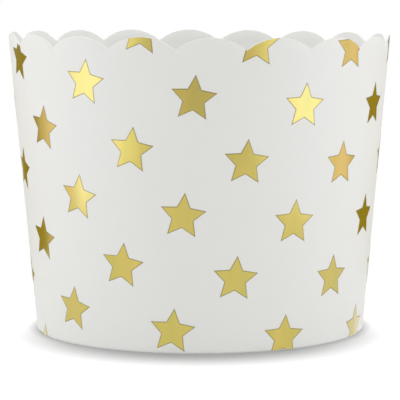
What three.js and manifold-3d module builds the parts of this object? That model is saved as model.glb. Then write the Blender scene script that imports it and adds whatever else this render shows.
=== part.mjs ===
// A paper baking cup: a printed paperboard wall rolled into a cone, and a paperboard base glued into its foot.
// Millimetres, +Z up. The origin is the centre of the circle that the cup stands on, and the front faces -Y.
import * as THREE from "three";
import { mergeVertices } from "three/addons/utils/BufferGeometryUtils.js";
import Module from "manifold-3d";

const wasm = await Module();
wasm.setup();

// Cup
const TOP_DIAMETER = 70; // over the outside, at the tips of the scallops
const FOOT_DIAMETER = 60.7; // over the outside, where the wall meets the table
const HEIGHT = 54.4; // from the table to the tips of the scallops

// Board
const BOARD = 0.35; // thickness of the paperboard, wall and base alike
const GLUE = 0.05; // glue line between two layers of board

// Scalloped rim
const SCALLOPS = 18;
const SCALLOP_DEPTH = 2.15; // from a tip down to a notch

// Side seam and foot
const BLANK_CENTRE = 63.4; // degrees, from the front round to the middle of the wall's blank, opposite the seam
const LAP_WIDTH = 6; // how far the outer end of the wall covers the inner end
const LAP_RISE = 3; // how far round the board takes to climb over a layer
const FOLD_RADIUS = 0.25; // of the foot's two folds, at the middle of the board
const HEM_HEIGHT = 4.4; // how far the wall's turned-in edge reaches above the table

// Base
const RECESS = 5; // from the table up to the base's underside
const BASE_CORNER = 0.8; // outer radius where the base turns down into its flange
const FLANGE_CLEARANCE = 0.25; // between the flange's edge and the fold below it

// Print: five-pointed foil stars in staggered rows, square to the blank's own centre line
const FOIL = 0.04; // thickness of the foil stars
const STAR_RADIUS = 4.15; // centre to point
const STAR_WAIST = 1.99; // centre to the corner between two points
const STAR_PITCH_ACROSS = 20.08; // between neighbours in one row
const STAR_PITCH_UP = 20.31; // between rows that stand in line; a staggered row lies halfway
const FIRST_STAR_OFFSET = 1.49; // sideways, from the blank's centre line to a star of the lowest row
const FIRST_STAR_HEIGHT = 1.8; // from the blank's foot to the centres of the lowest row
const LEAST_FOIL_AREA = 5; // a star that the die leaves less of than this is too small to be a piece

// Facets
const FACETS_PER_SCALLOP = 6;
const CUT_MARGIN = 1.2; // how far past a star its patch of foil and its cutter run

const topRadius = TOP_DIAMETER / 2;
const footRadius = FOOT_DIAMETER / 2;
const slope = (topRadius - footRadius) / HEIGHT; // how much the wall leans out for each unit of height
const lean = Math.atan(slope);
const turn = 2 * Math.PI;
const facetAngle = turn / (SCALLOPS * FACETS_PER_SCALLOP);
const lapHalfAngle = LAP_WIDTH / 2 / footRadius;
const lapRiseAngle = LAP_RISE / footRadius;
const layer = BOARD + GLUE;
const apexToFoot = footRadius / Math.sin(lean); // along the wall, from the cone's apex to the foot

const paperboard = new THREE.MeshStandardMaterial({ color: 0xf1f1ee, roughness: 0.55, metalness: 0 });
const baseboard = new THREE.MeshStandardMaterial({ color: 0xf1f1ec, roughness: 0.65, metalness: 0 });
const goldFoil = new THREE.MeshStandardMaterial({ color: 0xd9b24a, roughness: 0.28, metalness: 1 });

// 0 before start, 1 after end, and a smooth climb between them.
const climb = (x, start, end) => THREE.MathUtils.smoothstep(x, Math.min(start, end), Math.max(start, end));

// The radius of the wall's outer face at height z.
const wallRadius = (z) => footRadius + z * slope;

// The point at radius r and height z, at an angle measured round from the middle of the blank.
function aroundCup(angle, r, z) {
  const a = angle + THREE.MathUtils.degToRad(BLANK_CENTRE);
  return new THREE.Vector3(r * Math.sin(a), -r * Math.cos(a), z);
}

// The height of the scalloped edge: circular arcs that meet in sharp notches, with a tip at the blank's middle.
function rimHeight(angle) {
  const pitch = turn / SCALLOPS;
  const halfChord = (pitch * topRadius) / 2;
  const arcRadius = (halfChord ** 2 + SCALLOP_DEPTH ** 2) / (2 * SCALLOP_DEPTH);
  const fromTip = (angle - Math.round(angle / pitch) * pitch) * topRadius;
  return HEIGHT - (arcRadius - Math.sqrt(arcRadius ** 2 - fromTip ** 2));
}

// The facet edges from one angle to another, on the grid that all pieces share, with both ends exact.
function facetEdges(from, to) {
  const nearly = facetAngle * 0.05;
  const edges = [from];
  for (let k = Math.ceil((from + nearly) / facetAngle); k * facetAngle < to - nearly; k++)
    edges.push(k * facetAngle);
  return [...edges, to];
}

// One column of the wall's board, from the rim down, round the foot's folds and up the hem. Each station is a
// point on the middle of the board, in radius and height, with the board's outward normal there.
function wallColumn(angle) {
  const lapStart = Math.PI - lapHalfAngle;
  // The outer end climbs over the inner end, and the inner end's fold sits above the outer end's.
  const over = layer * climb(angle, lapStart - lapRiseAngle, lapStart);
  const under = layer * climb(-angle, lapStart - lapRiseAngle, lapStart);
  const outward = [Math.cos(lean), -Math.sin(lean)];
  const inward = [-Math.cos(lean), Math.sin(lean)];
  const half = BOARD / 2 / Math.cos(lean);
  const wallMiddle = (z) => wallRadius(z) - half + over;
  const hemMiddle = (z) => wallMiddle(z) - (2 * layer) / Math.cos(lean) - 2 * over;
  const foldHeight = BOARD / 2 + under + FOLD_RADIUS;
  const reach = FOLD_RADIUS / Math.cos(lean);
  const outerFold = wallMiddle(foldHeight) - reach;
  const innerFold = hemMiddle(foldHeight) + reach;
  const fold = (centre, [nr, nz]) => {
    return { r: centre + nr * FOLD_RADIUS, z: foldHeight + nz * FOLD_RADIUS, nr, nz };
  };
  const halfway = ([ar, az], [br, bz]) => {
    const n = new THREE.Vector2(ar + br, az + bz).normalize();
    return [n.x, n.y];
  };
  const down = [0, -1];
  const top = rimHeight(angle);
  return [
    { r: wallMiddle(top), z: top, nr: outward[0], nz: outward[1] },
    fold(outerFold, outward),
    fold(outerFold, halfway(outward, down)),
    fold(outerFold, down),
    fold(innerFold, down),
    fold(innerFold, halfway(down, inward)),
    fold(innerFold, inward),
    { r: hemMiddle(HEM_HEIGHT), z: HEM_HEIGHT, nr: inward[0], nz: inward[1] },
  ];
}

// A closed sheet of board or foil. Each column is a list of stations, and the sheet fills the space between
// two distances from its middle, measured along the normals.
function sheetGeometry(angles, columns, inner, outer) {
  const rows = columns[0].length;
  const positions = [];
  for (const distance of [outer, inner])
    columns.forEach((stations, i) =>
      stations.forEach(({ r, z, nr, nz }) =>
        positions.push(...aroundCup(angles[i], r + nr * distance, z + nz * distance).toArray()),
      ),
    );
  const index = [];
  const quad = (a, b, c, d) => index.push(a, b, c, a, c, d);
  const out = (i, j) => i * rows + j;
  const back = (i, j) => (columns.length + i) * rows + j;
  for (let i = 0; i + 1 < columns.length; i++) {
    for (let j = 0; j + 1 < rows; j++) {
      quad(out(i, j), out(i, j + 1), out(i + 1, j + 1), out(i + 1, j));
      quad(back(i, j), back(i + 1, j), back(i + 1, j + 1), back(i, j + 1));
    }
    quad(out(i, 0), out(i + 1, 0), back(i + 1, 0), back(i, 0));
    quad(out(i, rows - 1), back(i, rows - 1), back(i + 1, rows - 1), out(i + 1, rows - 1));
  }
  const last = columns.length - 1;
  for (let j = 0; j + 1 < rows; j++) {
    quad(out(0, j), back(0, j), back(0, j + 1), out(0, j + 1));
    quad(out(last, j), out(last, j + 1), back(last, j + 1), back(last, j));
  }
  const geometry = new THREE.BufferGeometry();
  geometry.setAttribute("position", new THREE.Float32BufferAttribute(positions, 3));
  geometry.setIndex(index);
  return geometry;
}

// The wall: one blank, lapped at the side seam, scalloped at the rim and turned in at the foot.
function sideWall() {
  const end = Math.PI + lapHalfAngle;
  const angles = facetEdges(-end, end);
  const geometry = sheetGeometry(angles, angles.map(wallColumn), -BOARD / 2, BOARD / 2);
  geometry.computeVertexNormals();
  return new THREE.Mesh(geometry, paperboard);
}

// The base: a disc with its edge turned down into a flange that stands between the wall and the hem.
function baseDisc() {
  const flangeOut = (z) => wallRadius(z) - layer / Math.cos(lean);
  const flangeIn = (z) => flangeOut(z) - BOARD / Math.cos(lean);
  const flangeEnd = 2 * BOARD + GLUE + FLANGE_CLEARANCE;
  const top = RECESS + BOARD;
  const cornerCentre = flangeOut(top - BASE_CORNER) - BASE_CORNER / Math.cos(lean);
  const corner = (radius, steps) =>
    Array.from({ length: steps + 1 }, (_, k) => {
      const a = THREE.MathUtils.lerp(Math.PI / 2, -lean, k / steps);
      return new THREE.Vector2(cornerCentre + radius * Math.cos(a), top - BASE_CORNER + radius * Math.sin(a));
    });
  const profile = [
    new THREE.Vector2(0, RECESS),
    ...corner(BASE_CORNER - BOARD, 2),
    new THREE.Vector2(flangeIn(flangeEnd), flangeEnd),
    new THREE.Vector2(flangeOut(flangeEnd), flangeEnd),
    ...corner(BASE_CORNER, 3).reverse(),
    new THREE.Vector2(0, top),
  ];
  const geometry = new THREE.LatheGeometry(profile, SCALLOPS * FACETS_PER_SCALLOP);
  geometry.rotateX(Math.PI / 2);
  geometry.rotateZ(THREE.MathUtils.degToRad(BLANK_CENTRE) - Math.PI / 2);
  return new THREE.Mesh(geometry, baseboard);
}

// A closed mesh as a solid that can be cut.
function solidOf(geometry) {
  const bare = geometry.clone().deleteAttribute("normal").deleteAttribute("uv");
  const merged = mergeVertices(bare, 1e-5);
  const mesh = new wasm.Mesh({
    numProp: 3,
    vertProperties: merged.attributes.position.array,
    triVerts: new Uint32Array(merged.index.array),
  });
  return new wasm.Manifold(mesh);
}

// A solid's surface as geometry with its own normals.
function geometryOf(solid) {
  const { vertProperties, triVerts } = solid.getMesh();
  const geometry = new THREE.BufferGeometry();
  geometry.setAttribute("position", new THREE.BufferAttribute(vertProperties, 3));
  geometry.setIndex(new THREE.BufferAttribute(triVerts, 1));
  geometry.computeVertexNormals();
  return geometry;
}

// The outline of a star, one point up.
function starShape() {
  const corners = Array.from({ length: 10 }, (_, k) => {
    const r = k % 2 ? STAR_WAIST : STAR_RADIUS;
    return new THREE.Vector2(r * Math.sin((k * Math.PI) / 5), r * Math.cos((k * Math.PI) / 5));
  });
  return new THREE.Shape(corners);
}

// The centres of the printed stars, as an angle from the blank's middle and a distance along the wall from the
// foot. The rows are counted up or down from the lowest one at the blank's middle, and the stars outwards from it.
function starCentres() {
  const centres = [];
  const rowCount = Math.ceil((HEIGHT + STAR_RADIUS) / (STAR_PITCH_UP / 2)) + 1;
  const sagAtEnd = apexToFoot * (1 - Math.cos((Math.PI + lapHalfAngle) * Math.sin(lean)));
  const lowest = -Math.ceil(sagAtEnd / (STAR_PITCH_UP / 2)) - 1;
  const starsAside = Math.ceil((Math.PI * topRadius) / STAR_PITCH_ACROSS) + 1;
  for (let row = lowest; row < rowCount; row++)
    for (let n = -starsAside; n <= starsAside; n++) {
      const across = FIRST_STAR_OFFSET + (n + (row % 2 ? 0.5 : 0)) * STAR_PITCH_ACROSS;
      const up = apexToFoot + FIRST_STAR_HEIGHT + (row * STAR_PITCH_UP) / 2;
      const angle = Math.atan2(across, up) / Math.sin(lean);
      const level = row < 0 ? `low${-row}` : `row${row + 1}`;
      const side = n < 0 ? `left${-n}` : `right${n + 1}`;
      centres.push({ name: `foil_star_${level}_${side}`, angle, along: Math.hypot(across, up) - apexToFoot });
    }
  return centres;
}

// One foil star, bent to the wall and cut off where the die cut the board, or null where too little is left.
function foilStar({ name, angle, along }) {
  const height = along * Math.cos(lean);
  const reach = (STAR_RADIUS + CUT_MARGIN) / wallRadius(height);
  const from = Math.max(angle - reach, -Math.PI + lapHalfAngle);
  const to = Math.min(angle + reach, Math.PI + lapHalfAngle);
  if (to - from < facetAngle / 4) return null;
  const angles = facetEdges(from, to);
  const columns = angles.map((a) => wallColumn(a).slice(0, 2));
  const skin = solidOf(sheetGeometry(angles, columns, BOARD / 2, BOARD / 2 + FOIL));
  const cutDepth = layer + CUT_MARGIN;
  const cutter = new THREE.ExtrudeGeometry(starShape(), { depth: 2 * cutDepth, bevelEnabled: false });
  cutter.translate(0, 0, -cutDepth);
  cutter.rotateZ(angle * Math.sin(lean));
  const right = aroundCup(angle + Math.PI / 2, 1, 0);
  const upward = aroundCup(angle, Math.sin(lean), Math.cos(lean));
  const outward = new THREE.Vector3().crossVectors(right, upward);
  const place = new THREE.Matrix4().makeBasis(right, upward, outward);
  place.setPosition(aroundCup(angle, wallRadius(height), height));
  const star = skin.intersect(solidOf(cutter.applyMatrix4(place)));
  if (star.volume() < LEAST_FOIL_AREA * FOIL) return null;
  const mesh = new THREE.Mesh(geometryOf(star), goldFoil);
  mesh.name = name;
  return mesh;
}


const cup = new THREE.Group();
const wall = sideWall();
wall.name = "side_wall";
const base = baseDisc();
base.name = "base_disc";
const stars = starCentres().map(foilStar).filter(Boolean);
cup.add(wall, base, ...stars);

export default cup;
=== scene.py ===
"""A paper baking cup, dressed for its photograph.

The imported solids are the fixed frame. Every piece of the cup is rebuilt here at the same size and in the
same place, with the fine surface that the solids leave out: the smooth cone, the folds at the foot, the
softened cut edges, the slight give of the board and the pressed edge of each foil star.

Lengths are in millimetres until a mesh is made, and in Blender's own metres from there on. Angles round the
cup are in radians from the middle of the wall's blank.
"""

import logging
import math
from dataclasses import dataclass
from enum import Enum, IntEnum

import bmesh
import bpy
from mathutils import Matrix, Quaternion, Vector


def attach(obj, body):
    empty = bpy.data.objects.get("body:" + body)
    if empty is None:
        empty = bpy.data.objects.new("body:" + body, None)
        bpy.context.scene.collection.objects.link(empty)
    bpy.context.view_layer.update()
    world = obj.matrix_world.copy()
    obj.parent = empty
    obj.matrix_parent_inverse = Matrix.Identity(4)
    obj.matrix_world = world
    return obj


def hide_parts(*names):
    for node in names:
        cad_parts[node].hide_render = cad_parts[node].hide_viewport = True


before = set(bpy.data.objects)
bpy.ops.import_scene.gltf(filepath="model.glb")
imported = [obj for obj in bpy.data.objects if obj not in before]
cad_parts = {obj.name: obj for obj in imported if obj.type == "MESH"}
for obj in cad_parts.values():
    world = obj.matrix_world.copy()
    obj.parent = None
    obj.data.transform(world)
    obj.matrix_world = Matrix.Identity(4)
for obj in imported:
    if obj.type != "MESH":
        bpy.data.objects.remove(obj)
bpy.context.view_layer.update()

Pair = tuple[float, float]
Triple = tuple[float, float, float]
Tree = bpy.types.NodeTree
Node = bpy.types.Node
Socket = bpy.types.NodeSocket
Inputs = dict[str | int, object]

MM = 0.001
BODY = "root"
EDGE_POINTS = 4
log = logging.getLogger("baking_cup")


# The cup's form


def ease(share: float) -> float:
    """Holds a share between 0 and 1 and makes it start and end gently."""
    share = min(1.0, max(0.0, share))
    return share * share * (3 - 2 * share)


@dataclass(frozen=True)
class CupForm:
    """The sizes that every piece of the cup takes its shape from, in millimetres and degrees."""

    top_radius: float = 35.0
    foot_radius: float = 30.35
    height: float = 54.4
    board: float = 0.35
    glue: float = 0.05
    scallops: int = 18
    scallop_depth: float = 2.15
    blank_centre: float = 63.4
    lap_width: float = 6.0
    lap_rise: float = 3.0
    fold_radius: float = 0.25
    hem_height: float = 4.4
    recess: float = 5.0
    base_corner: float = 0.8
    flange_clearance: float = 0.25

    @property
    def lean(self) -> float:
        """How far the wall leans out, in radians."""
        return math.atan(self.slope)

    @property
    def slope(self) -> float:
        """How much the wall leans out for each unit of height."""
        return (self.top_radius - self.foot_radius) / self.height

    @property
    def apex_to_foot(self) -> float:
        """The distance along the wall from the cone's apex to the foot."""
        return self.foot_radius / math.sin(self.lean)

    @property
    def layer(self) -> float:
        """The thickness of the board with one glue line."""
        return self.board + self.glue

    @property
    def lap_half(self) -> float:
        """Half of the seam's lap, as an angle in radians."""
        return self.lap_width / 2 / self.foot_radius

    @property
    def lap_start(self) -> float:
        """The angle from the blank's middle to where the two ends begin to lap, in radians."""
        return math.pi - self.lap_half

    def rim_height(self, angle: float) -> float:
        """Gives the height of the scalloped edge.

        Args:
            angle: The angle round the cup.

        Returns:
            The height above the table.
        """
        pitch = 2 * math.pi / self.scallops
        half_chord = pitch * self.top_radius / 2
        arc = (half_chord**2 + self.scallop_depth**2) / (2 * self.scallop_depth)
        across = (angle - round(angle / pitch) * pitch) * self.top_radius
        return self.height - (arc - math.sqrt(arc**2 - across**2))

    def climb(self, angle: float) -> float:
        """Gives how far one end of the wall stands off the other near the seam.

        Args:
            angle: The angle round the cup towards that end.

        Returns:
            A distance from 0, away from the seam, to one layer of board, at the lap.
        """
        rise = self.lap_rise / self.foot_radius
        return self.layer * ease((angle - self.lap_start + rise) / rise)


@dataclass(frozen=True)
class Handling:
    """The small ways in which a real cup is not a true cone, in millimetres.

    Each wave is a count round the cup, a size and a phase in radians.
    """

    rim_tilt: float = 0.28
    waves: tuple[tuple[int, float, float], ...] = (
        (2, 0.09, 0.6),
        (3, 0.07, 2.1),
        (5, 0.035, 4.0),
        (9, 0.015, 1.3),
    )
    held_below: float = 5.0

    def shift(self, angle: float, height: float, form: CupForm) -> Pair:
        """Gives how far the board has moved from the true cone.

        Args:
            angle: The angle round the cup.
            height: The height above the table.
            form: The cup's sizes.

        Returns:
            The distances outwards and upwards.
        """
        free = ease((height - self.held_below) / (form.height - self.held_below))
        out = sum(size * math.sin(count * angle + phase) for count, size, phase in self.waves)
        side = math.sin(angle + math.radians(form.blank_centre))
        return out * free, -self.rim_tilt * side * free


@dataclass(frozen=True)
class Station:
    """A point on the middle of the board in one upright section, with the board's outward normal there."""

    r: float
    z: float
    nr: float
    nz: float


@dataclass(frozen=True)
class Blank:
    """The wall's blank, rolled up: it places any point of the board in space."""

    form: CupForm
    handling: Handling
    columns_per_scallop: int = 32

    @property
    def outer_fold(self) -> float:
        """The radius of the printed face round the fold at the foot."""
        return self.form.fold_radius + self.form.board / 2

    @property
    def step(self) -> float:
        """The angle between two columns of the board, in radians."""
        return 2 * math.pi / (self.form.scallops * self.columns_per_scallop)

    def place(self, angle: float, r: float, z: float) -> Triple:
        """Turns a point of a section into a point in space.

        Args:
            angle: The angle round the cup.
            r: The distance from the axis on the true cone.
            z: The height on the true cone.

        Returns:
            The point, in metres.
        """
        out, up = self.handling.shift(angle, z, self.form)
        a = angle + math.radians(self.form.blank_centre)
        return (
            (r + out) * math.sin(a) * MM,
            -(r + out) * math.cos(a) * MM,
            (z + up) * MM,
        )

    def fold_centre(self, angle: float) -> Pair:
        """Gives the centre of the outer fold's arc at the foot.

        Args:
            angle: The angle round the cup.

        Returns:
            Its distance from the axis and its height.
        """
        form = self.form
        z = form.board / 2 + form.fold_radius + form.climb(-angle)
        middle = form.foot_radius + z * form.slope - form.board / 2 / math.cos(form.lean) + form.climb(angle)
        return middle - form.fold_radius / math.cos(form.lean), z

    def section(self, angle: float, wall_rows: int, fold_rows: int, hem_rows: int) -> list[Station]:
        """Gives the middle of the board in one upright section, from the rim round the foot and up the hem.

        Args:
            angle: The angle round the cup.
            wall_rows: The number of steps down the wall.
            fold_rows: The number of steps round each fold.
            hem_rows: The number of steps up the hem.

        Returns:
            The stations, in order.
        """
        form = self.form
        lean = form.lean
        over = form.climb(angle)
        half = form.board / 2 / math.cos(lean)
        outer_r, fold_z = self.fold_centre(angle)

        def wall(z: float) -> float:
            """Gives the wall's middle radius at a height."""
            return form.foot_radius + z * form.slope - half + over

        def hem(z: float) -> float:
            """Gives the hem's middle radius at a height."""
            return wall(z) - 2 * form.layer / math.cos(lean) - 2 * over

        def fold(centre_r: float, start: float, turn: float) -> list[Station]:
            """Gives the stations round one of the two folds at the foot.

            Args:
                centre_r: The distance of the fold's centre from the axis.
                start: The direction of the board's normal at the fold's start, in radians.
                turn: The angle that the board turns through.

            Returns:
                The stations, in order.
            """
            found = []
            for k in range(fold_rows + 1):
                at = start - turn * k / fold_rows
                n = (math.cos(at), math.sin(at))
                r = centre_r + n[0] * form.fold_radius
                found.append(Station(r, fold_z + n[1] * form.fold_radius, *n))
            return found

        inner_r = hem(fold_z) + form.fold_radius / math.cos(lean)
        out = (math.cos(lean), -math.sin(lean))
        top = form.rim_height(angle)
        foot = fold_z - form.fold_radius * math.sin(lean)
        stations = []
        for k in range(wall_rows):
            z = top + (foot - top) * k / wall_rows
            stations.append(Station(wall(z), z, *out))
        stations.extend(fold(outer_r, -lean, math.pi / 2 - lean))
        stations.extend(fold(inner_r, -math.pi / 2, math.pi / 2 + lean))
        begin = stations[-1].z
        for k in range(1, hem_rows + 1):
            z = begin + (form.hem_height - begin) * k / hem_rows
            stations.append(Station(hem(z), z, -out[0], -out[1]))
        return stations

    def skin_point(self, angle: float, along: float, proud: float) -> Triple:
        """Gives a point just off the wall's printed face, which runs on round the fold at the foot.

        Args:
            angle: The angle round the cup.
            along: The distance up the wall from the foot.
            proud: The distance off the printed face.

        Returns:
            The point, in metres.
        """
        form = self.form
        lean = form.lean
        centre_r, centre_z = self.fold_centre(angle)
        start = (centre_z - self.outer_fold * math.sin(lean)) / math.cos(lean)
        if along >= start:
            z = along * math.cos(lean)
            r = form.foot_radius + z * form.slope + form.climb(angle)
            return self.place(angle, r + proud * math.cos(lean), z - proud * math.sin(lean))
        turn = -lean - (start - along) / self.outer_fold
        reach = self.outer_fold + proud
        return self.place(angle, centre_r + reach * math.cos(turn), centre_z + reach * math.sin(turn))


# Meshes


def show(name: str, data: bpy.types.ID) -> bpy.types.Object:
    """Puts a mesh, a lamp or a camera into the scene and reports it.

    Args:
        name: The object's name.
        data: The mesh, the lamp or the camera.

    Returns:
        The new object.
    """
    made = bpy.data.objects.new(name, data)
    bpy.context.scene.collection.objects.link(made)
    log.info("%s: in place", name)
    return made


def link_mesh(
    name: str, points: list, faces: list, materials: list, picks: list[int], crease: float
) -> bpy.types.Object:
    """Makes a smooth mesh object, its faces turned outwards.

    Args:
        name: The piece's name.
        points: The vertices, in metres.
        faces: The faces, as lists of vertex numbers.
        materials: The materials that the piece uses.
        picks: The material number of each face.
        crease: The angle in degrees from which an edge is sharp.

    Returns:
        The new object.
    """
    mesh = bpy.data.meshes.new(name)
    mesh.from_pydata(points, [], faces)
    for material in materials:
        mesh.materials.append(material)
    mesh.polygons.foreach_set("material_index", picks)
    mesh.polygons.foreach_set("use_smooth", [True] * len(faces))
    mesh.update()
    shape = bmesh.new()
    shape.from_mesh(mesh)
    bmesh.ops.recalc_face_normals(shape, faces=shape.faces)
    shape.to_mesh(mesh)
    shape.free()
    mesh.set_sharp_from_angle(angle=math.radians(crease))
    return show(name, mesh)


class Part(IntEnum):
    """The number of the material on each part of a sheet."""

    FACE = 0
    EDGE = 1
    BACK = 2


@dataclass
class SideWall:
    """The printed wall: lapped at the seam, scalloped at the rim and turned in at the foot."""

    blank: Blank
    outside: bpy.types.Material
    inside: bpy.types.Material
    edge: bpy.types.Material
    wall_rows: int = 30
    fold_rows: int = 7
    hem_rows: int = 5
    end_clear: float = 0.05
    edge_round: float = 0.05
    edge_bevel: float = 0.3
    crease: float = 50.0

    def angles(self) -> list[float]:
        """Gives the angle of each column, both ends of the blank included.

        Returns:
            The angles round the cup, in order.
        """
        end = math.pi + self.blank.form.lap_half
        step = self.blank.step
        nearest = int((end - step * self.end_clear) / step)
        return [-end, *(k * step for k in range(-nearest, nearest + 1)), end]

    def loop(self, angle: float) -> list[Triple]:
        """Gives the closed outline of the board in one section.

        Args:
            angle: The angle round the cup.

        Returns:
            The points: down the printed face, over the hem's edge, up the plain face and over the rim.
        """
        stations = self.blank.section(angle, self.wall_rows, self.fold_rows, self.hem_rows)
        half = self.blank.form.board / 2
        soft = self.edge_round
        mid = soft * self.edge_bevel
        first, last = stations[0], stations[-1]

        def at(s: Station, off: float, back: float) -> Triple:
            """Places a point near a cut edge.

            Args:
                s: The station at the edge.
                off: The distance off the middle of the board.
                back: The distance back from the edge.

            Returns:
                The point, in metres.
            """
            along = (s.nz, -s.nr) if s.nr > 0 else (-s.nz, s.nr)
            r = s.r + s.nr * off + along[0] * back
            return self.blank.place(angle, r, s.z + s.nz * off + along[1] * back)

        def over_edge(s: Station, side: int) -> list[Triple]:
            """Places the points over a cut edge, from one face (side 1 or -1) to the other."""
            steps = ((half - mid, mid), (half - soft, 0), (soft - half, 0), (mid - half, mid))
            return [at(s, side * off, back) for off, back in steps]

        down = [at(s, half, 0) for s in stations]
        up = [at(s, -half, 0) for s in reversed(stations)]
        down[0] = at(first, half, soft)
        up[-1] = at(first, -half, soft)
        down[-1] = at(last, half, soft)
        up[0] = at(last, -half, soft)
        return [*down, *over_edge(last, 1), *up, *over_edge(first, -1)]

    def build(self) -> None:
        """Builds the wall."""
        angles = self.angles()
        points = [p for a in angles for p in self.loop(a)]
        rows = self.wall_rows + 2 * (self.fold_rows + 1) + self.hem_rows
        plain = rows + EDGE_POINTS
        rim = plain + rows - 1
        size = rim + EDGE_POINTS + 1
        cap = EDGE_POINTS + 2
        faces, picks = [], []
        for i in range(len(angles) - 1):
            a, b = i * size, (i + 1) * size
            for j in range(size):
                k = (j + 1) % size
                faces.append((a + j, a + k, b + k, b + j))
                picks.append(Part.EDGE)
                if j < rows - 1:
                    picks[-1] = Part.FACE
                if plain <= j < rim:
                    picks[-1] = Part.BACK
        for start in (0, (len(angles) - 1) * size):
            for j in range(rows - 1):
                near, far = start + j, start + rim - j
                faces.append((near, near + 1, far - 1, far))
            faces.append(tuple(start + rows - 1 + k for k in range(cap)))
            faces.append(tuple(start + (rim + k) % size for k in range(cap)))
        picks.extend([Part.EDGE] * (len(faces) - len(picks)))
        materials = [self.outside, self.edge, self.inside]
        wall = link_mesh("cup_wall", points, faces, materials, picks, self.crease)
        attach(wall, BODY)
        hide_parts("side_wall")


@dataclass
class BaseDisc:
    """The recessed base, with its edge turned down between the wall and the hem."""

    form: CupForm
    board_finish: bpy.types.Material
    edge: bpy.types.Material
    columns: int = 288
    corner_rows: int = 8
    rings: int = 16
    sag: float = 0.12
    crease: float = 50.0

    def profile(self) -> list[tuple[float, float, int]]:
        """Gives the base's section from the middle of its underside, round the flange and back over its top.

        Returns:
            Points as a radius, a height and the material number of the strip that follows.
        """
        form = self.form
        slant = math.cos(form.lean)
        top = form.recess + form.board
        centre_z = top - form.base_corner

        def out(z: float) -> float:
            """Gives the flange's outer radius at a height."""
            return form.foot_radius + z * form.slope - form.layer / slant

        centre_r = out(centre_z) - form.base_corner / slant
        end = 2 * form.board + form.glue + form.flange_clearance
        inner, outer = form.base_corner - form.board, form.base_corner
        step = (math.pi / 2 + form.lean) / self.corner_rows

        def arc(radius: float) -> list[Pair]:
            """Gives the corner's arc from the flat panel to the flange."""
            turns = [math.pi / 2 - step * k for k in range(self.corner_rows + 1)]
            return [(centre_r + radius * math.cos(t), centre_z + radius * math.sin(t)) for t in turns]

        def panel(z: float) -> list[Pair]:
            """Gives the flat panel's rings, with the slight sag of a panel held at its edge."""
            radii = [centre_r * math.sqrt(k / self.rings) for k in range(self.rings)]
            return [(r, z - self.sag * (1 - (r / centre_r) ** 2) ** 2) for r in radii]

        under = [*panel(form.recess), *arc(inner)]
        over = [*panel(top), *arc(outer), (out(end), end)]
        return [
            *((r, z, Part.FACE) for r, z in under),
            (out(end) - form.board / slant, end, Part.EDGE),
            *((r, z, Part.FACE) for r, z in reversed(over)),
        ]

    def build(self) -> None:
        """Builds the base."""
        profile = self.profile()
        points = [(0.0, 0.0, profile[0][1] * MM)]
        rings = profile[1:-1]
        for k in range(self.columns):
            a = 2 * math.pi * k / self.columns
            points.extend((r * math.cos(a) * MM, r * math.sin(a) * MM, z * MM) for r, z, _ in rings)
        points.append((0.0, 0.0, profile[-1][1] * MM))
        faces, picks = [], []
        for k in range(self.columns):
            a, b = 1 + k * len(rings), 1 + (k + 1) % self.columns * len(rings)
            faces.append((0, a, b))
            picks.append(Part.FACE)
            for j in range(len(rings) - 1):
                faces.append((a + j, a + j + 1, b + j + 1, b + j))
                picks.append(rings[j][2])
            faces.append((a + len(rings) - 1, len(points) - 1, b + len(rings) - 1))
            picks.append(Part.FACE)
        base = link_mesh("cup_base", points, faces, [self.board_finish, self.edge], picks, self.crease)
        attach(base, BODY)
        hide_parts("base_disc")


# The foil print

# A star's corners, and the smallest share and the smallest distance that a cut takes notice of.
CORNERS = 10
HAIR = 1e-9
TOUCH = 1e-12


def keep_side(shape: list[Pair], point: Pair, normal: Pair) -> list[Pair]:
    """Cuts a convex outline along a line and keeps one side.

    Args:
        shape: The outline's corners, in order.
        point: A point on the line.
        normal: The direction in which the kept side lies.

    Returns:
        The corners that are left, or an empty list.
    """
    kept = []
    sides = [(x - point[0]) * normal[0] + (y - point[1]) * normal[1] for x, y in shape]
    for k, (x, y) in enumerate(shape):
        here, ahead = sides[k], sides[(k + 1) % len(shape)]
        if here >= 0:
            kept.append((x, y))
        if (here > 0) != (ahead > 0) and abs(here - ahead) > TOUCH:
            t = here / (here - ahead)
            nx, ny = shape[(k + 1) % len(shape)]
            if HAIR < t < 1 - HAIR:
                kept.append((x + (nx - x) * t, y + (ny - y) * t))
    return kept if len(kept) > 2 else []


@dataclass(frozen=True)
class StarPlace:
    """Where one star of the print lies on the flat blank, measured from the cone's apex."""

    name: str
    across: float
    up: float


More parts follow.
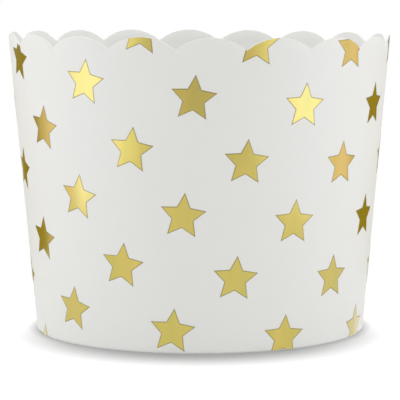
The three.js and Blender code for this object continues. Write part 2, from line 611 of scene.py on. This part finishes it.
@dataclass
class FoilPrint:
    """The foil stars: a staggered grid on the flat blank, cut by the die and rolled up with the board."""

    blank: Blank
    finish: bpy.types.Material
    # The pressed edge's finish, darker partly as painted shade of the pressed slope.
    border: bpy.types.Material
    star_radius: float = 4.15
    star_waist: float = 1.99
    pitch_across: float = 20.08
    pitch_up: float = 20.31
    first_across: float = 1.49
    first_up: float = 1.8
    foil: float = 0.024
    pressed_edge: float = 0.15
    edge_proud: float = 0.008
    under_proud: float = 0.001
    room: float = 1.2
    row_step: float = 1.8
    round_fold: float = 0.45
    fold_steps: int = 4
    fold_clear: float = 0.2
    rim_clear: float = 0.02
    least_area: float = 0.15
    welds_per_mm: float = 2e4
    crease: float = 5.0

    def places(self) -> list[StarPlace]:
        """Gives the middle of every star that may touch the blank.

        Returns:
            The stars' names and places.
        """
        form = self.blank.form
        sag = form.apex_to_foot * (1 - math.cos((math.pi + form.lap_half) * math.sin(form.lean)))
        half_pitch = self.pitch_up / 2
        lowest = -math.ceil(sag / half_pitch) - 1
        highest = math.ceil((form.height + self.star_radius) / half_pitch) + 1
        aside = math.ceil(math.pi * form.top_radius / self.pitch_across) + 1
        found = []
        for row in range(lowest, highest):
            for n in range(-aside, aside + 1):
                across = self.first_across + (n + row % 2 / 2) * self.pitch_across
                up = form.apex_to_foot + self.first_up + row * half_pitch
                level = f"low{-row}" if row < 0 else f"row{row + 1}"
                side = f"left{-n}" if n < 0 else f"right{n + 1}"
                found.append(StarPlace(f"foil_star_{level}_{side}", across, up))
        return found

    def outline(self, shrink: float) -> list[Pair]:
        """Gives a star's corners, point up, from its topmost point clockwise.

        Args:
            shrink: How far each side is moved inwards.

        Returns:
            The corners, from the star's middle.
        """
        turn = 2 * math.pi / CORNERS
        aside = self.star_waist * math.sin(turn)
        side = math.hypot(self.star_radius - self.star_waist * math.cos(turn), aside)
        scale = 1 - shrink * side / (self.star_radius * aside)
        found = []
        for k in range(CORNERS):
            radius = scale * (self.star_waist if k % 2 else self.star_radius)
            found.append((radius * math.sin(k * turn), radius * math.cos(k * turn)))
        return found

    def pieces(self) -> list[tuple[list[Pair], Part]]:
        """Splits a star into convex outlines: a kite inside each point and strips along its pressed edge.

        Returns:
            Each outline with its material's number.
        """
        outer, inner = self.outline(0.0), self.outline(self.pressed_edge)
        found = []
        for k in range(0, CORNERS, 2):
            found.append(([(0.0, 0.0), inner[k - 1], inner[k], inner[k + 1]], Part.FACE))
        for k in range(CORNERS):
            ahead = (k + 1) % CORNERS
            found.append(([outer[k], outer[ahead], inner[ahead], inner[k]], Part.EDGE))
        return found

    def edge_distance(self, x: float, y: float) -> float:
        """Gives the distance from a point of a star to the star's nearest side.

        Args:
            x: The point's place across, from the star's middle.
            y: The point's place up.

        Returns:
            The distance.
        """
        corners = self.outline(0.0)
        nearest = self.star_radius
        for (ax, ay), (bx, by) in zip(corners, [*corners[1:], corners[0]]):
            dx, dy = bx - ax, by - ay
            t = min(1.0, max(0.0, ((x - ax) * dx + (y - ay) * dy) / (dx * dx + dy * dy)))
            nearest = min(nearest, math.hypot(x - ax - t * dx, y - ay - t * dy))
        return nearest

    def rows(self, middle: float, along: float) -> list[float]:
        """Gives the lines along which a star is split so that it follows the fold at the foot.

        Args:
            middle: The angle of the star's middle round the cup.
            along: The distance of the star's middle up the wall from the foot.

        Returns:
            The lines' distances up the wall from the star's middle, lowest first.
        """
        form = self.blank.form
        reach = self.star_radius * self.room
        centre_z = self.blank.fold_centre(middle)[1]
        fold = (centre_z - self.blank.outer_fold * math.sin(form.lean)) / math.cos(form.lean) - along
        plain = [k * self.row_step - reach for k in range(int(2 * reach / self.row_step) + 2)]
        folded = [fold - self.round_fold * k / self.fold_steps for k in range(self.fold_steps + 1)]
        return sorted({*(row for row in plain if row > fold + self.fold_clear), *folded})

    def cut(self, star: StarPlace) -> list[tuple[list[Pair], Part]]:
        """Cuts one star by the die and along the board's columns and rows.

        Args:
            star: The star's place.

        Returns:
            The convex patches that are left, from the star's middle, each with its material's number.
        """
        form = self.blank.form
        sin_lean = math.sin(form.lean)
        middle = math.atan2(star.across, star.up) / sin_lean
        distance = math.hypot(star.across, star.up)
        reach = self.star_radius * self.room / (distance * sin_lean)
        step = self.blank.step
        low, high = form.lap_half - math.pi, form.lap_half + math.pi
        if middle + reach < low or middle - reach > high:
            return []
        first = math.floor((middle - reach) / step)
        last = math.ceil((middle + reach) / step)
        edges = sorted({min(high, max(low, k * step)) for k in range(first, last + 1)})
        rows = self.rows(middle, distance - form.apex_to_foot)
        rows[0] -= HAIR
        up = (math.sin(middle * sin_lean), math.cos(middle * sin_lean))
        patches = []
        for a, b in zip(edges, edges[1:]):
            for shape, face in self.pieces():
                piece = self.trimmed(shape, star, a, b)
                for row, ahead in zip(rows, [*rows[1:], None]):
                    strip = keep_side(piece, (up[0] * row, up[1] * row), up)
                    if strip and ahead is not None:
                        strip = keep_side(strip, (up[0] * ahead, up[1] * ahead), (-up[0], -up[1]))
                    if strip:
                        patches.append((strip, face))
        return patches

    def trimmed(self, shape: list[Pair], star: StarPlace, a: float, b: float) -> list[Pair]:
        """Keeps what lies between two upright lines of the wall and under the scalloped edge.

        Args:
            shape: The outline, from the star's middle.
            star: The star's place.
            a: The first line's angle round the cup.
            b: The second line's angle.

        Returns:
            The outline that is left.
        """
        form = self.blank.form
        ends = []
        for angle, side in ((a, 1), (b, -1)):
            flat = angle * math.sin(form.lean)
            inwards = (side * math.cos(flat), -side * math.sin(flat))
            shape = keep_side(shape, (-star.across, -star.up), inwards)
            far = form.apex_to_foot + form.rim_height(angle) / math.cos(form.lean) - self.rim_clear
            ends.append((far * math.sin(flat) - star.across, far * math.cos(flat) - star.up))
        (ax, ay), (bx, by) = ends
        return keep_side(shape, ends[0], (by - ay, ax - bx))

    def skin(self, star: StarPlace, x: float, y: float, top: bool) -> Triple:
        """Places a point of a star on the rolled wall.

        Args:
            star: The star's place.
            x: The point's place across, from the star's middle.
            y: The point's place up.
            top: Whether it lies on the leaf's top face or on its underside.

        Returns:
            The point, in metres.
        """
        form = self.blank.form
        across, up = star.across + x, star.up + y
        angle = math.atan2(across, up) / math.sin(form.lean)
        along = math.hypot(across, up) - form.apex_to_foot
        share = min(1.0, self.edge_distance(x, y) / self.pressed_edge)
        proud = self.edge_proud + (self.foil - self.edge_proud) * share if top else self.under_proud
        return self.blank.skin_point(angle, along, proud)

    def leaf(self, star: StarPlace, patches: list[tuple[list[Pair], Part]]) -> None:
        """Builds one star as a thin closed leaf on the wall's printed face.

        Args:
            star: The star's place.
            patches: The convex patches that the die left of it.
        """
        flat_points: list[Pair] = []
        index: dict[tuple[int, int], int] = {}
        faces, picks = [], []
        for patch, pick in patches:
            corners = []
            for x, y in patch:
                key = (round(x * self.welds_per_mm), round(y * self.welds_per_mm))
                if key not in index:
                    index[key] = len(flat_points)
                    flat_points.append((x, y))
                corners.append(index[key])
            face = [c for k, c in enumerate(corners) if c != corners[k - 1]]
            if len(set(face)) > 2:
                faces.append(face)
                picks.append(pick)
        points = [self.skin(star, x, y, True) for x, y in flat_points]
        points.extend(self.skin(star, x, y, False) for x, y in flat_points)
        count = len(flat_points)
        used = dict.fromkeys((face[k - 1], face[k]) for face in faces for k in range(len(face)))
        under = [[c + count for c in reversed(face)] for face in faces]
        sides = [(b, a, a + count, b + count) for a, b in used if (b, a) not in used]
        name = star.name.replace("foil_star", "star")
        picks = [*picks, *picks, *([Part.EDGE] * len(sides))]
        whole = [*faces, *under, *sides]
        piece = link_mesh(name, points, whole, [self.finish, self.border], picks, self.crease)
        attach(piece, BODY)
        if star.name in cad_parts:
            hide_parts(star.name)

    def build(self) -> None:
        """Builds every star that the die leaves on the blank."""
        for star in self.places():
            patches = self.cut(star)
            if sum(outline_area(patch) for patch, _ in patches) > self.least_area:
                self.leaf(star, patches)


def outline_area(shape: list[Pair]) -> float:
    """Gives the area of an outline."""
    return abs(sum(shape[k - 1][0] * y - x * shape[k - 1][1] for k, (x, y) in enumerate(shape))) / 2


# Finishes

FINE_DETAIL = 4.0
FINE_HARSHNESS = 0.6
SLOW_DETAIL = 2.0


class Grain(Enum):
    """Which way a surface's marks run on the flat blank."""

    EVEN = (1.0, 1.0, 1.0)
    UPRIGHT = (1.0, 1.0, 0.12)


def node(tree: Tree, kind: str, inputs: Inputs | None = None, **values: object) -> Node:
    """Adds a node, sets its properties and fills its inputs.

    Args:
        tree: The node tree.
        kind: The node's type.
        inputs: What each input gets: a plain value, an output, or a node whose first output is taken.
        **values: The properties by name.

    Returns:
        The node.
    """
    made = tree.nodes.new(kind)
    for key, value in values.items():
        setattr(made, key, value)
    for key, value in (inputs or {}).items():
        if isinstance(value, Node):
            value = value.outputs[0]
        if isinstance(value, Socket):
            tree.links.new(value, made.inputs[key])
        else:
            made.inputs[key].default_value = value
    return made


def figure(tree: Tree, operation: str, *values: object) -> Socket:
    """Adds a math node.

    Args:
        tree: The node tree.
        operation: The operation's name.
        *values: Its inputs in order, as numbers or as other nodes' outputs.

    Returns:
        The node's output.
    """
    return node(tree, "ShaderNodeMath", dict(enumerate(values)), operation=operation).outputs[0]


def fade(tree: Tree, value: Socket, start: float, end: float) -> Socket:
    """Adds a soft step from 0 to 1.

    Args:
        tree: The node tree.
        value: The number that decides.
        start: The number at which the step is 0.
        end: The number at which it is 1.

    Returns:
        The step's output.
    """
    inputs = {"Value": value, "From Min": start, "From Max": end}
    return node(tree, "ShaderNodeMapRange", inputs, interpolation_type="SMOOTHSTEP").outputs["Result"]


def mixed(tree: Tree, share: Socket, first: object, second: object) -> Socket:
    """Adds a mix of two colours.

    Args:
        tree: The node tree.
        share: The second colour's share.
        first: The first colour, plain or as another node's output.
        second: The second colour.

    Returns:
        The mix's output.
    """
    inputs = {"Factor": share, "A": first, "B": second}
    return node(tree, "ShaderNodeMix", inputs, data_type="RGBA").outputs["Result"]


def either(tree: Tree, share: Socket, first: Node, second: Node) -> Node:
    """Adds a mix of two shaders.

    Args:
        tree: The node tree.
        share: The second shader's share.
        first: The first shader.
        second: The second shader.

    Returns:
        The mix.
    """
    return node(tree, "ShaderNodeMixShader", {"Fac": share, 1: first, 2: second})


def seen(tree: Tree) -> Socket:
    """Adds a mask of what the camera sees, directly, in a gloss or through glass.

    Args:
        tree: The node tree.

    Returns:
        The output that is 1 or 0.
    """
    path = node(tree, "ShaderNodeLightPath")
    first = figure(tree, "MAXIMUM", path.outputs["Is Camera Ray"], path.outputs["Is Glossy Ray"])
    return figure(tree, "MAXIMUM", first, path.outputs["Is Transmission Ray"])


def bare_material(name: str) -> bpy.types.Material:
    """Makes a material with an empty node tree.

    Args:
        name: The material's name.

    Returns:
        The material.
    """
    made = bpy.data.materials.new(name)
    made.use_nodes = True
    made.node_tree.nodes.clear()
    return made


def marks_group() -> Tree:
    """Builds the shared group of fine surface marks: fibres or rolling marks, and a slow unevenness.

    Returns:
        The node group, with inputs for scale, direction and balance, and outputs for a height and a mottle.
    """
    group = bpy.data.node_groups.new("SurfaceMarks", "ShaderNodeTree")
    face = group.interface
    for name in ("Fine Scale", "Slow Scale", "Slow Share"):
        face.new_socket(name, in_out="INPUT", socket_type="NodeSocketFloat")
    face.new_socket("Direction", in_out="INPUT", socket_type="NodeSocketVector")
    for name in ("Height", "Mottle"):
        face.new_socket(name, in_out="OUTPUT", socket_type="NodeSocketFloat")
    start = node(group, "NodeGroupInput").outputs
    place = node(group, "ShaderNodeTexCoord").outputs["Object"]
    stretch = node(group, "ShaderNodeVectorMath", {0: place, 1: start["Direction"]}, operation="MULTIPLY")
    fine_inputs = {"Scale": start["Fine Scale"], "Detail": FINE_DETAIL, "Roughness": FINE_HARSHNESS}
    fine = node(group, "ShaderNodeTexNoise", {"Vector": stretch, **fine_inputs}).outputs["Fac"]
    slow_inputs = {"Scale": start["Slow Scale"], "Detail": SLOW_DETAIL}
    slow = node(group, "ShaderNodeTexNoise", {"Vector": stretch, **slow_inputs}).outputs["Fac"]
    heights = {"Factor": start["Slow Share"], "A": fine, "B": slow}
    blend = node(group, "ShaderNodeMix", heights, data_type="FLOAT").outputs["Result"]
    node(group, "NodeGroupOutput", {"Height": blend, "Mottle": slow})
    return group


@dataclass(frozen=True)
class Finish:
    """A finish whose colour, roughness and relief vary with the shared surface marks."""

    name: str
    light: Triple
    dark: Triple
    smooth: float
    rough: float
    fine_scale: float
    slow_scale: float
    slow_share: float
    relief: float
    grain: Grain = Grain.EVEN
    metallic: float = 0.0
    coat: float = 0.0
    coat_roughness: float = 0.3
    specular: float = 0.5

    def material(self, marks: Tree) -> bpy.types.Material:
        """Makes the material.

        Args:
            marks: The shared group of surface marks.

        Returns:
            The material.
        """
        made = bare_material(self.name)
        made.diffuse_color = (*self.light, 1.0)
        tree = made.node_tree
        scales = {
            "Fine Scale": self.fine_scale,
            "Slow Scale": self.slow_scale,
            "Slow Share": self.slow_share,
            "Direction": self.grain.value,
        }
        surface = node(tree, "ShaderNodeGroup", scales, node_tree=marks).outputs
        mottle = surface["Mottle"]
        rough = {"Value": mottle, "To Min": self.smooth, "To Max": self.rough}
        bump = {"Height": surface["Height"], "Distance": self.relief * MM}
        look = {
            "Base Color": mixed(tree, mottle, (*self.dark, 1.0), (*self.light, 1.0)),
            "Roughness": node(tree, "ShaderNodeMapRange", rough),
            "Normal": node(tree, "ShaderNodeBump", bump),
            "Metallic": self.metallic,
            "Coat Weight": self.coat,
            "Coat Roughness": self.coat_roughness,
            "Specular IOR Level": self.specular,
        }
        shader = node(tree, "ShaderNodeBsdfPrincipled", look)
        node(tree, "ShaderNodeOutputMaterial", {"Surface": shader})
        return made


COATED_BOARD = Finish(
    name="coated_board",
    light=(0.865, 0.865, 0.848),
    dark=(0.842, 0.842, 0.824),
    smooth=0.42,
    rough=0.52,
    fine_scale=5200.0,
    slow_scale=90.0,
    slow_share=0.25,
    relief=0.006,
    specular=0.3,
)
GREASEPROOF_FACE = Finish(
    name="greaseproof_face",
    light=(0.9, 0.9, 0.88),
    dark=(0.88, 0.88, 0.86),
    smooth=0.5,
    rough=0.62,
    fine_scale=3600.0,
    slow_scale=110.0,
    slow_share=0.3,
    relief=0.012,
)
CUT_EDGE = Finish(
    name="cut_edge",
    light=(0.93, 0.93, 0.91),
    dark=(0.84, 0.84, 0.81),
    smooth=0.75,
    rough=0.9,
    fine_scale=9000.0,
    slow_scale=900.0,
    slow_share=0.4,
    relief=0.02,
)
GOLD_FOIL = Finish(
    name="gold_leaf",
    light=(0.66, 0.465, 0.108),
    dark=(0.4, 0.395, 0.078),
    smooth=0.16,
    rough=0.22,
    fine_scale=2600.0,
    slow_scale=260.0,
    slow_share=0.6,
    relief=0.006,
    grain=Grain.UPRIGHT,
    metallic=1.0,
    coat=0.8,
    coat_roughness=0.12,
)
# The foil on each star's pressed edge: thin and feathered there, and darker also as painted shade of the
# pressed slope.
GOLD_BORDER_AND_SHADE = Finish(
    name="gold_leaf_border_and_shade",
    light=(0.36, 0.31, 0.13),
    dark=(0.28, 0.24, 0.1),
    smooth=0.3,
    rough=0.45,
    fine_scale=2600.0,
    slow_scale=600.0,
    slow_share=0.6,
    relief=0.01,
    metallic=0.8,
)


# The studio

Levels = tuple[tuple[float, Triple], ...]


@dataclass
class Studio:
    """The table, the light tent, the soft lamp and the camera of the photograph.

    Levels give the tent's light by azimuth in degrees, from straight ahead of the cup to straight behind it.
    The skirt is the tent's lowest part, which only a gloss shows.
    """

    table_radius: float = 120.0
    table_forward: float = 60.0
    table_sides: int = 96
    well_radius: float = 30.1
    table_tone: float = 0.85
    shown_tone: float = 0.25
    table_glow: float = 0.86
    # Painted shadow on the table: the glow's darkest level, how far ahead of the cup its centre lies, where
    # its soft edge starts and ends, and the reach and samples of a painted contact shade at the foot.
    shade_glow: float = 0.165
    painted_shadow_forward: float = 10.0
    painted_shadow_core: float = 20.5
    painted_shadow_rim: float = 36.0
    painted_contact_reach: float = 2.0
    painted_contact_samples: int = 16
    ambient: float = 0.9
    ambient_tint: Triple = (1.0, 1.0, 0.985)
    tent_radius: float = 900.0
    tent_columns: int = 48
    tent_rows: int = 24
    tent_below: float = 50.0
    tent_shoulder: float = 45.0
    shoulder_blend: float = 12.0
    skirt_top: float = 90.0
    skirt_full: float = -45.0
    tent_top: float = 0.85
    tent_peak: float = 3.4
    tent_levels: Levels = (
        (0, (0.38, 0.38, 0.36)),
        (24, (0.46, 0.46, 0.44)),
        (54, (1.5, 1.5, 1.49)),
        (80, (1.6, 1.6, 1.58)),
        (100, (1.15, 1.15, 1.15)),
        (120, (0.65, 0.65, 0.65)),
        (180, (0.56, 0.56, 0.56)),
    )
    skirt_levels: Levels = (
        (0, (0.9, 0.84, 0.84)),
        (24, (0.9, 0.88, 0.88)),
        (46, (1.65, 1.65, 1.75)),
        (64, (1.9, 2.05, 2.8)),
        (77, (1.9, 2.05, 2.7)),
        (91, (1.2, 1.05, 1.1)),
        (102, (1.4, 1.2, 1.25)),
        (113, (0.95, 0.82, 0.6)),
        (125, (0.45, 0.36, 0.03)),
        (150, (0.36, 0.27, 0.02)),
        (180, (0.7, 0.68, 0.6)),
    )
    lamp_height: float = 780.0
    lamp_size: float = 600.0
    lamp_power: float = 0.8
    camera_place: Triple = (0.0, -370.98, 62.2)
    camera_pitch: float = 5.96
    camera_roll: float = -0.115
    lens: float = 180.3
    film_width: float = 36.0
    shift_across: float = 0.0007
    nearest: float = 10.0
    farthest: float = 20000.0

    def table(self) -> None:
        """Lays the round pale table that the cup stands on."""
        mesh = bpy.data.meshes.new("table")
        shape = bmesh.new()
        radius = self.table_radius * MM
        bmesh.ops.create_circle(shape, cap_ends=True, radius=radius, segments=self.table_sides)
        shape.to_mesh(mesh)
        shape.free()
        mesh.transform(Matrix.Translation((0.0, -self.table_forward * MM, 0.0)))
        mesh.materials.append(self.table_finish())
        show("table", mesh)

    def table_finish(self) -> bpy.types.Material:
        """Makes the table's finish.

        The table throws a plain pale tone's light on the cup. What the camera sees of it is white and keeps
        the lamp's shadow, and its glow carries a painted shadow that darkens it ahead of the cup and at the
        foot; a gloss shows the glow without the painted shadow. From below and inside the foot's ring it is
        clear.

        Returns:
            The material.
        """
        made = bare_material("pale_table")
        tree = made.node_tree
        pale = node(tree, "ShaderNodeBsdfDiffuse", {"Color": (*[self.table_tone] * 3, 1.0)})
        shown = node(tree, "ShaderNodeBsdfDiffuse", {"Color": (*[self.shown_tone] * 3, 1.0)})
        place = node(tree, "ShaderNodeTexCoord").outputs["Object"]
        middle = node(tree, "ShaderNodeVectorMath", {0: place}, operation="LENGTH")
        # Painted shadow: the glow dims towards a centre ahead of the cup and, through occlusion, at the
        # foot.
        shade = {0: place, 1: (0.0, -self.painted_shadow_forward * MM, 0.0)}
        away = node(tree, "ShaderNodeVectorMath", shade, operation="DISTANCE")
        reach = {"Distance": self.painted_contact_reach * MM}
        painted_contact_shade = node(tree, "ShaderNodeAmbientOcclusion", reach, samples=self.painted_contact_samples)
        ahead = fade(tree, away.outputs["Value"], self.painted_shadow_core * MM, self.painted_shadow_rim * MM)
        outside_painted_shadow = figure(tree, "MULTIPLY", ahead, painted_contact_shade.outputs["AO"])
        path = node(tree, "ShaderNodeLightPath")
        clear_of_painted_shadow = figure(tree, "MAXIMUM", outside_painted_shadow, path.outputs["Is Glossy Ray"])
        level = figure(tree, "MULTIPLY_ADD", clear_of_painted_shadow, self.table_glow - self.shade_glow, self.shade_glow)
        glow = node(tree, "ShaderNodeEmission", {"Strength": level})
        lit = node(tree, "ShaderNodeAddShader", {0: shown, 1: glow})
        face = node(tree, "ShaderNodeNewGeometry")
        under_cup = figure(tree, "LESS_THAN", middle.outputs["Value"], self.well_radius * MM)
        unseen = figure(tree, "MAXIMUM", face.outputs["Backfacing"], under_cup)
        clear = node(tree, "ShaderNodeBsdfTransparent")
        whole = either(tree, unseen, either(tree, seen(tree), pale, lit), clear)
        node(tree, "ShaderNodeOutputMaterial", {"Surface": whole})
        return made

    def surroundings(self) -> None:
        """Sets the white surroundings, which light the cup at their own level."""
        world = bpy.data.worlds.new("white_surroundings")
        bpy.context.scene.world = world
        world.use_nodes = True
        tree = world.node_tree
        tree.nodes.clear()
        ambient = {"Color": (*self.ambient_tint, 1.0), "Strength": self.ambient}
        lit = node(tree, "ShaderNodeBackground", ambient)
        white = node(tree, "ShaderNodeBackground", {"Color": (1.0, 1.0, 1.0, 1.0)})
        node(tree, "ShaderNodeOutputWorld", {"Surface": either(tree, seen(tree), lit, white)})

    def tent(self) -> None:
        """Puts up the light tent, a dome round the table that the camera does not see."""
        radius = self.tent_radius * MM
        columns, rows = self.tent_columns, self.tent_rows
        mesh = bpy.data.meshes.new("light_tent")
        shape = bmesh.new()
        bmesh.ops.create_uvsphere(shape, u_segments=columns, v_segments=rows, radius=radius)
        lowest = -radius * math.sin(math.radians(self.tent_below))
        bmesh.ops.delete(shape, geom=[v for v in shape.verts if v.co.z < lowest], context="VERTS")
        shape.to_mesh(mesh)
        shape.free()
        mesh.materials.append(self.tent_finish())
        dome = show("light_tent", mesh)
        dome.visible_camera = False

    def tent_finish(self) -> bpy.types.Material:
        """Makes the tent's glow: bright at the sides and overhead, dim in front and behind, with its skirt.

        Returns:
            The material.
        """
        made = bare_material("light_tent")
        tree = made.node_tree
        place = node(tree, "ShaderNodeTexCoord").outputs["Object"]
        split = node(tree, "ShaderNodeSeparateXYZ", {0: place}).outputs
        turn = figure(tree, "ARCTAN2", split["X"], figure(tree, "MULTIPLY", split["Y"], -1.0))
        azimuth = figure(tree, "DIVIDE", figure(tree, "ABSOLUTE", turn), math.pi)
        start, end = (
            math.sin(math.radians(self.tent_shoulder + side * self.shoulder_blend)) * self.tent_radius * MM
            for side in (-1, 1)
        )
        above = fade(tree, split["Z"], start, end)
        crown = (*[self.tent_top / self.tent_peak] * 3, 1.0)
        whole = mixed(tree, above, self.ramp(tree, self.tent_levels, azimuth), crown)
        below = fade(tree, split["Z"], self.skirt_top * MM, self.skirt_full * MM)
        path = node(tree, "ShaderNodeLightPath")
        mirrored = figure(tree, "MULTIPLY", below, path.outputs["Is Glossy Ray"])
        light = mixed(tree, mirrored, whole, self.ramp(tree, self.skirt_levels, azimuth))
        glow = node(tree, "ShaderNodeEmission", {"Color": light, "Strength": self.tent_peak})
        node(tree, "ShaderNodeOutputMaterial", {"Surface": glow})
        return made

    def ramp(self, tree: Tree, levels: Levels, azimuth: Socket) -> Socket:
        """Adds a ramp of light round the tent.

        Args:
            tree: The node tree.
            levels: Azimuths in degrees, each with its colour of light.
            azimuth: The azimuth as a share of a half turn.

        Returns:
            The ramp's colour, as a share of the tent's peak.
        """
        made = node(tree, "ShaderNodeValToRGB", {"Fac": azimuth})
        made.color_ramp.interpolation = "EASE"
        stops = made.color_ramp.elements
        while len(stops) < len(levels):
            stops.new(0.5)
        for stop, (degrees, light) in zip(stops, levels):
            stop.position = degrees / 180
            stop.color = (*(channel / self.tent_peak for channel in light), 1.0)
        return made.outputs["Color"]

    def overhead(self) -> None:
        """Hangs the soft lamp over the cup."""
        data = bpy.data.lights.new("soft_box", "AREA")
        data.shape = "SQUARE"
        data.size = self.lamp_size * MM
        data.energy = self.lamp_power
        show("soft_box", data).location = (0.0, 0.0, self.lamp_height * MM)

    def camera(self) -> None:
        """Sets up the photograph's camera."""
        data = bpy.data.cameras.new("photo_camera")
        data.lens = self.lens
        data.sensor_width = self.film_width
        data.shift_x = self.shift_across
        data.clip_start = self.nearest * MM
        data.clip_end = self.farthest * MM
        made = show("photo_camera", data)
        made.location = Vector(self.camera_place) * MM
        made.rotation_mode = "QUATERNION"
        tilt = Quaternion((1.0, 0.0, 0.0), math.radians(90.0 - self.camera_pitch))
        made.rotation_quaternion = tilt @ Quaternion((0.0, 0.0, 1.0), math.radians(self.camera_roll))
        bpy.context.scene.camera = made

    def build(self) -> None:
        """Sets up the whole studio."""
        bpy.context.scene.view_settings.view_transform = "Standard"
        self.table()
        self.surroundings()
        self.tent()
        self.overhead()
        self.camera()


def main() -> None:
    """Builds the cup and its studio, piece by piece."""
    logging.basicConfig(level=logging.INFO, format="%(message)s")
    form = CupForm()
    blank = Blank(form, Handling())
    marks = marks_group()
    board = COATED_BOARD.material(marks)
    plain = GREASEPROOF_FACE.material(marks)
    edge = CUT_EDGE.material(marks)
    foil = GOLD_FOIL.material(marks)
    SideWall(blank, board, plain, edge).build()
    BaseDisc(form, plain, edge).build()
    FoilPrint(blank, foil, GOLD_BORDER_AND_SHADE.material(marks)).build()
    Studio().build()


if __name__ == "__main__":
    main()
